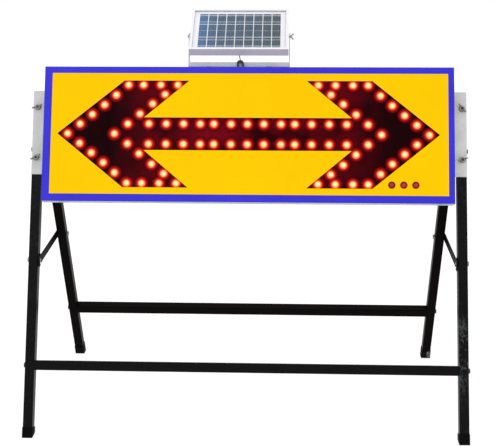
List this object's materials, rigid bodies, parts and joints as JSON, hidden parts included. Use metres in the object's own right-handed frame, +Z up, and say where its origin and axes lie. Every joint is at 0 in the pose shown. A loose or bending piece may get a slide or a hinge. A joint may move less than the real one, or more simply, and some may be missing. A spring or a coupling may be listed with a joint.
{
  "type": "solar arrow board on folding stand",
  "caption": "Yellow arrow sign with lit lamps on a black folding A-frame stand, with a small tilting solar panel on top.",
  "frame": {"origin": "centre of the whole stand's footprint box, on the floor", "axes": "+Z up; the lit face looks towards -Y and leans back; X runs along the sign"},
  "size_m": [1.294, 0.6278, 1.1742],
  "materials": {
    "black_paint": "semi-gloss",
    "rear_black_paint": "semi-gloss",
    "black_rubber": "matte",
    "black_plastic": "matte",
    "black_steel": "satin",
    "zinc": "satin",
    "grey_sheet": "satin",
    "blue_face": "semi-gloss",
    "yellow_film": "satin",
    "smoked_acrylic": "gloss",
    "lit_lamp": "gloss",
    "red_lamp": "gloss",
    "board_green": "satin",
    "battery_grey": "matte",
    "webbing": "matte",
    "controller_plastic": "matte",
    "white_frame": "satin",
    "panel_glass": "gloss",
    "cell_blue": "gloss",
    "white_backsheet": "satin",
    "gland_grey": "satin",
    "yoke_grey": "satin",
    "cable_grey": "satin"
  },
  "bodies": {
    "stand": {"front_leg_left": "black_paint", "front_leg_right": "black_paint", "front_bar": "black_paint", "front_bar_bolts": "black_steel", "front_feet": "black_rubber", "front_leg_plugs": "black_plastic", "hinge_bolts": "black_steel", "hinge_spacers": "black_plastic", "stay_studs": "zinc", "sign_housing": "grey_sheet", "rear_cover": "grey_sheet", "cover_screws": "zinc", "face_panel": "blue_face", "yellow_field": "yellow_film", "arrow_window": "smoked_acrylic", "arrow_lamps": "lit_lamp", "indicator_lamps": "red_lamp", "indicator_bezels": "black_plastic", "lamp_board": "board_green", "board_posts": "zinc", "battery": "battery_grey", "battery_strap": "webbing", "charge_controller": "controller_plastic", "switch_body": "black_plastic", "side_bracket_left": "grey_sheet", "side_bracket_right": "grey_sheet", "bracket_rivets": "zinc", "sign_bolts": "black_steel", "sign_washers": "zinc", "panel_yoke": "yoke_grey", "yoke_spacers": "zinc", "yoke_screws": "zinc", "cable_gland": "gland_grey", "gland_guard": "black_plastic", "panel_cable": "cable_grey"},
    "rear_frame": {"rear_leg_left": "rear_black_paint", "rear_leg_right": "rear_black_paint", "rear_bar": "rear_black_paint", "rear_bar_bolts": "black_steel", "rear_feet": "black_rubber", "rear_leg_plugs": "black_plastic", "stay_pivots": "zinc"},
    "stay_l": {"stay_left": "black_paint"},
    "stay_r": {"stay_right": "black_paint"},
    "panel": {"panel_frame": "white_frame", "panel_glass": "panel_glass", "panel_backsheet": "white_backsheet", "solar_cells": "cell_blue", "junction_box": "black_plastic", "tilt_bolts": "zinc", "tilt_washers": "zinc"},
    "rocker": {"switch_rocker": "black_plastic"},
    "wing_left_low": {"wing_nut_left_low": "zinc"},
    "wing_left_high": {"wing_nut_left_high": "zinc"},
    "wing_right_low": {"wing_nut_right_low": "zinc"},
    "wing_right_high": {"wing_nut_right_high": "zinc"},
    "tilt_nut": {"tilt_wing": "zinc"}
  },
  "joints": [
    {"name": "rear_fold", "type": "hinge", "parent": "stand", "child": "rear_frame", "pos_m": [0, 0.02616, 0.77667], "axis": [-1, 0, 0], "range_deg": [0, 37]},
    {"name": "stay_swing_left", "type": "hinge", "parent": "rear_frame", "child": "stay_l", "pos_m": [-0.6108, 0.12984, 0.48151], "axis": [-1, 0, 0], "range_deg": [0, 73]},
    {"name": "stay_swing_right", "type": "hinge", "parent": "rear_frame", "child": "stay_r", "pos_m": [0.6108, 0.12984, 0.48151], "axis": [-1, 0, 0], "range_deg": [0, 73]},
    {"name": "panel_tilt", "type": "hinge", "parent": "stand", "child": "panel", "pos_m": [-0.028, 0.12627, 1.10046], "axis": [1, 0, 0], "range_deg": [-33, 5]},
    {"name": "switch_rock", "type": "hinge", "parent": "stand", "child": "rocker", "pos_m": [-0.38, -0.02357, 0.70302], "axis": [0, -0.3843, -0.9232], "range_deg": [0, 9.6]},
    {"name": "wing_turn_left_low", "type": "hinge", "parent": "stand", "child": "wing_left_low", "pos_m": [-0.628, -0.00476, 0.75965], "axis": [0, -0.9232, 0.3843], "continuous": true},
    {"name": "wing_turn_left_high", "type": "hinge", "parent": "stand", "child": "wing_left_high", "pos_m": [-0.628, 0.05365, 0.89997], "axis": [0, -0.9232, 0.3843], "continuous": true},
    {"name": "wing_turn_right_low", "type": "hinge", "parent": "stand", "child": "wing_right_low", "pos_m": [0.628, -0.00476, 0.75965], "axis": [0, -0.9232, 0.3843], "continuous": true},
    {"name": "wing_turn_right_high", "type": "hinge", "parent": "stand", "child": "wing_right_high", "pos_m": [0.628, 0.05365, 0.89997], "axis": [0, -0.9232, 0.3843], "continuous": true},
    {"name": "tilt_wing_turn", "type": "hinge", "parent": "panel", "child": "tilt_nut", "pos_m": [0.125, 0.12627, 1.10046], "axis": [1, 0, 0], "continuous": true}
  ],
  "couplings": [
    {"joint": "stay_swing_left", "follows": "rear_fold", "ratio": 1.96},
    {"joint": "stay_swing_right", "follows": "rear_fold", "ratio": 1.96}
  ]
}
